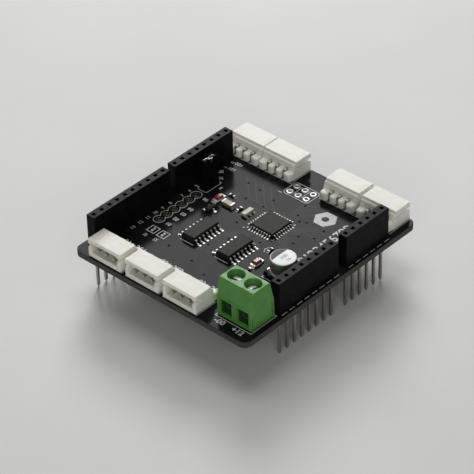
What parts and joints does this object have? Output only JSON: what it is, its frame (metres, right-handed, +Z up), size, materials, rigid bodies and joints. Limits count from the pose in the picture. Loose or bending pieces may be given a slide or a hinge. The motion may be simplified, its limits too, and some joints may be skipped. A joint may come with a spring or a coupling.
{
  "type": "servo driver board",
  "caption": "Stackable circuit board with long header pins, socket strips, white servo ports along two edges, a green screw terminal, chips and a jumper.",
  "frame": {"origin": "under the middle of the board, level with the tips of the long header pins", "axes": "+X along the socket strips towards the edge with four servo ports, +Y from the analog strip to the digital strips, +Z up from the component side"},
  "size_m": [0.0596, 0.0534, 0.0225],
  "materials": {
    "board_laminate": "satin black solder mask over woven glass laminate",
    "black_moulding": "moulded black plastic",
    "tinned_pin": "tin-plated copper alloy",
    "white_nylon": "moulded off-white nylon",
    "green_moulding": "moulded green plastic",
    "plated_steel": "zinc-plated steel",
    "can_aluminium": "drawn aluminium with a printed segment",
    "package_resin": "moulded resin with tin-plated leads",
    "lamp_red": "clear red resin with plated ends",
    "ceramic_body": "cream ceramic with plated ends",
    "chip_body": "glazed black chip with plated ends"
  },
  "bodies": {
    "board": {"circuit_board": "board_laminate", "digital_high_header": "black_moulding", "digital_high_contacts": "tinned_pin", "digital_low_header": "black_moulding", "digital_low_contacts": "tinned_pin", "power_header": "black_moulding", "power_contacts": "tinned_pin", "analog_header": "black_moulding", "analog_contacts": "tinned_pin", "servo_port_left_1": "white_nylon", "servo_pins_left_1": "tinned_pin", "servo_port_left_2": "white_nylon", "servo_pins_left_2": "tinned_pin", "servo_port_left_3": "white_nylon", "servo_pins_left_3": "tinned_pin", "servo_port_right_1": "white_nylon", "servo_pins_right_1": "tinned_pin", "servo_port_right_2": "white_nylon", "servo_pins_right_2": "tinned_pin", "servo_port_right_3": "white_nylon", "servo_pins_right_3": "tinned_pin", "servo_port_right_4": "white_nylon", "servo_pins_right_4": "tinned_pin", "terminal_block": "green_moulding", "terminal_leg_1": "tinned_pin", "terminal_leg_2": "tinned_pin", "jumper_base": "black_moulding", "jumper_pins": "tinned_pin", "capacitor_can": "can_aluminium", "capacitor_base": "black_moulding", "capacitor_lead_1": "tinned_pin", "capacitor_lead_2": "tinned_pin", "microcontroller": "package_resin", "logic_chip_1": "package_resin", "logic_chip_2": "package_resin", "power_lamp": "lamp_red", "status_lamp": "lamp_red", "filter_capacitor": "ceramic_body", "resonator": "ceramic_body", "resistor_1": "chip_body", "resistor_2": "chip_body", "resistor_3": "chip_body", "resistor_4": "chip_body", "transistor": "package_resin"},
    "screw_1": {"terminal_screw_1": "plated_steel"},
    "clamp_1": {"wire_clamp_1": "plated_steel"},
    "screw_2": {"terminal_screw_2": "plated_steel"},
    "clamp_2": {"wire_clamp_2": "plated_steel"},
    "cap": {"jumper_cap": "black_moulding", "jumper_clip": "tinned_pin"}
  },
  "joints": [
    {"name": "terminal_screw_1_turn", "type": "hinge", "parent": "board", "child": "screw_1", "pos_m": [-0.02215, -0.01733, 0.021], "axis": [0, 0, -1], "range_deg": [0, 1080]},
    {"name": "wire_clamp_1_rise", "type": "slide", "parent": "board", "child": "clamp_1", "axis": [0, 0, 1], "range_m": [0, 0.0015]},
    {"name": "terminal_screw_2_turn", "type": "hinge", "parent": "board", "child": "screw_2", "pos_m": [-0.02215, -0.02233, 0.021], "axis": [0, 0, -1], "range_deg": [0, 1080]},
    {"name": "wire_clamp_2_rise", "type": "slide", "parent": "board", "child": "clamp_2", "axis": [0, 0, 1], "range_m": [0, 0.0015]},
    {"name": "jumper_cap_pull", "type": "slide", "parent": "board", "child": "cap", "axis": [0, 0, 1], "range_m": [0, 0.006]}
  ],
  "couplings": [
    {"joint": "terminal_screw_1_turn", "follows": "wire_clamp_1_rise", "rad_per_m": 12566},
    {"joint": "terminal_screw_2_turn", "follows": "wire_clamp_2_rise", "rad_per_m": 12566}
  ]
}
